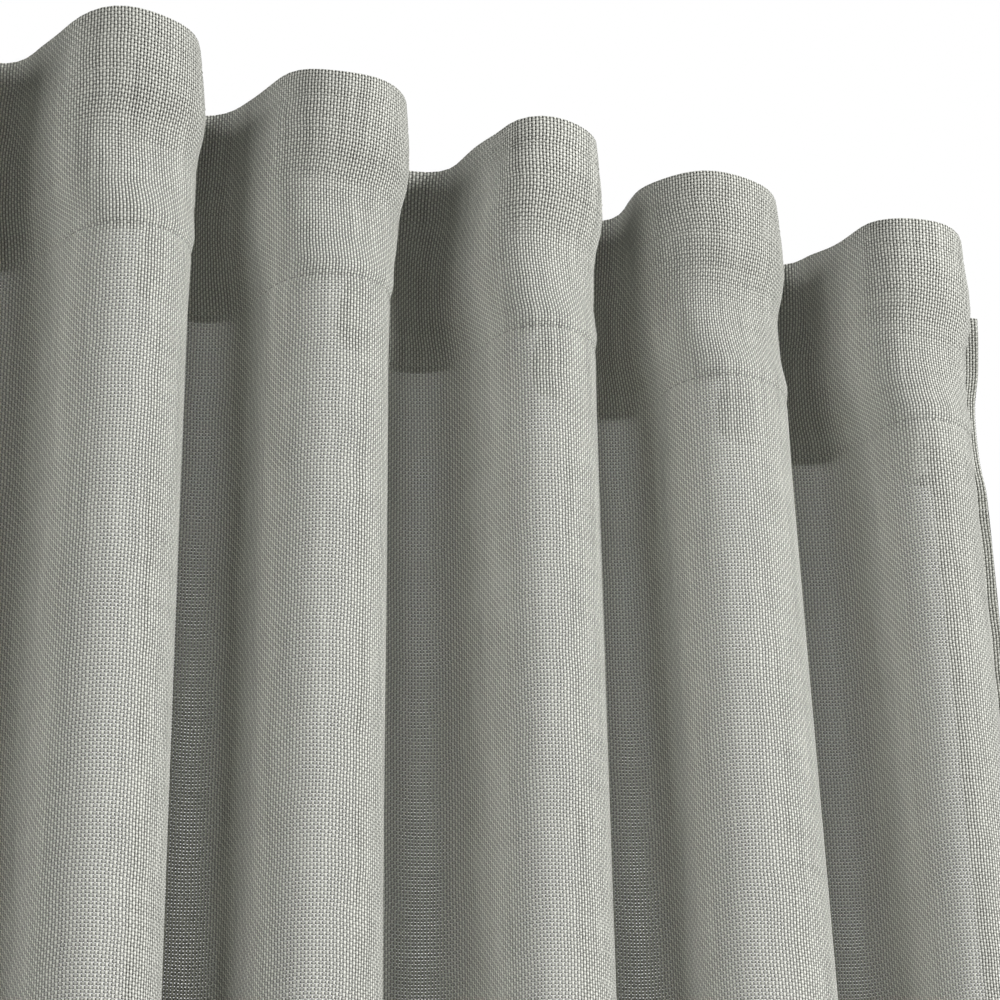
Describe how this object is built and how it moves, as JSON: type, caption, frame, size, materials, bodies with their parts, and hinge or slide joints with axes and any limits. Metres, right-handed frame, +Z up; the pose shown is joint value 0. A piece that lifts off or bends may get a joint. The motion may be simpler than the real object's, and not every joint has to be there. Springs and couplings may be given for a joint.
{
  "type": "curtain panel",
  "caption": "Rippled open-weave curtain panel with a double heading, a woven heading tape and hidden loops for a rod.",
  "frame": {"origin": "on the rod's centre line, half way along the panel", "axes": "+X along the rod, to the right seen from the front; +Y towards the window, behind the curtain; +Z up"},
  "size_m": [0.7706, 0.0848, 2.5],
  "materials": {
    "cloth": "matte",
    "tape": "matte",
    "cord": "matte",
    "thread": "matte",
    "webbing": "matte",
    "tack_thread": "matte",
    "label": "satin"
  },
  "bodies": {
    "panel": {"face_cloth": "cloth", "heading_turnover": "cloth", "heading_tape": "tape", "draw_cord_upper": "cord", "draw_cord_lower": "cord", "left_side_hem": "cloth", "right_side_hem": "cloth", "bottom_hem": "cloth", "top_stitching": "thread", "tape_top_stitching": "thread", "heading_base_stitching": "thread", "bottom_hem_stitching": "thread", "side_hem_stitching": "thread", "care_label": "label", "rod_loop_01": "webbing", "bar_tacks_01": "tack_thread"},
    "loop_02": {"rod_loop_02": "webbing", "bar_tacks_02": "tack_thread"},
    "loop_03": {"rod_loop_03": "webbing", "bar_tacks_03": "tack_thread"},
    "loop_04": {"rod_loop_04": "webbing", "bar_tacks_04": "tack_thread"},
    "loop_05": {"rod_loop_05": "webbing", "bar_tacks_05": "tack_thread"},
    "loop_06": {"rod_loop_06": "webbing", "bar_tacks_06": "tack_thread"},
    "loop_07": {"rod_loop_07": "webbing", "bar_tacks_07": "tack_thread"},
    "loop_08": {"rod_loop_08": "webbing", "bar_tacks_08": "tack_thread"},
    "loop_09": {"rod_loop_09": "webbing", "bar_tacks_09": "tack_thread"},
    "leading_loop": {"rod_loop_10": "webbing", "bar_tacks_10": "tack_thread"}
  },
  "joints": [
    {"name": "draw_curtain", "type": "slide", "parent": "panel", "child": "leading_loop", "axis": [1, 0, 0], "range_m": [-0.4472, 0], "deforming": ["face_cloth", "heading_turnover", "heading_tape", "draw_cord_upper", "draw_cord_lower", "left_side_hem", "right_side_hem", "bottom_hem", "top_stitching", "tape_top_stitching", "heading_base_stitching", "bottom_hem_stitching", "side_hem_stitching", "care_label"]},
    {"name": "slide_loop_02", "type": "slide", "parent": "panel", "child": "loop_02", "axis": [1, 0, 0], "range_m": [-0.0497, 0]},
    {"name": "slide_loop_03", "type": "slide", "parent": "panel", "child": "loop_03", "axis": [1, 0, 0], "range_m": [-0.09939, 0]},
    {"name": "slide_loop_04", "type": "slide", "parent": "panel", "child": "loop_04", "axis": [1, 0, 0], "range_m": [-0.14908, 0]},
    {"name": "slide_loop_05", "type": "slide", "parent": "panel", "child": "loop_05", "axis": [1, 0, 0], "range_m": [-0.19876, 0]},
    {"name": "slide_loop_06", "type": "slide", "parent": "panel", "child": "loop_06", "axis": [1, 0, 0], "range_m": [-0.24846, 0]},
    {"name": "slide_loop_07", "type": "slide", "parent": "panel", "child": "loop_07", "axis": [1, 0, 0], "range_m": [-0.29814, 0]},
    {"name": "slide_loop_08", "type": "slide", "parent": "panel", "child": "loop_08", "axis": [1, 0, 0], "range_m": [-0.34783, 0]},
    {"name": "slide_loop_09", "type": "slide", "parent": "panel", "child": "loop_09", "axis": [1, 0, 0], "range_m": [-0.39752, 0]}
  ],
  "couplings": [
    {"joint": "slide_loop_02", "follows": "draw_curtain", "ratio": 0.11111},
    {"joint": "slide_loop_03", "follows": "draw_curtain", "ratio": 0.22222},
    {"joint": "slide_loop_04", "follows": "draw_curtain", "ratio": 0.33333},
    {"joint": "slide_loop_05", "follows": "draw_curtain", "ratio": 0.44444},
    {"joint": "slide_loop_06", "follows": "draw_curtain", "ratio": 0.55556},
    {"joint": "slide_loop_07", "follows": "draw_curtain", "ratio": 0.66667},
    {"joint": "slide_loop_08", "follows": "draw_curtain", "ratio": 0.77778},
    {"joint": "slide_loop_09", "follows": "draw_curtain", "ratio": 0.88889}
  ]
}
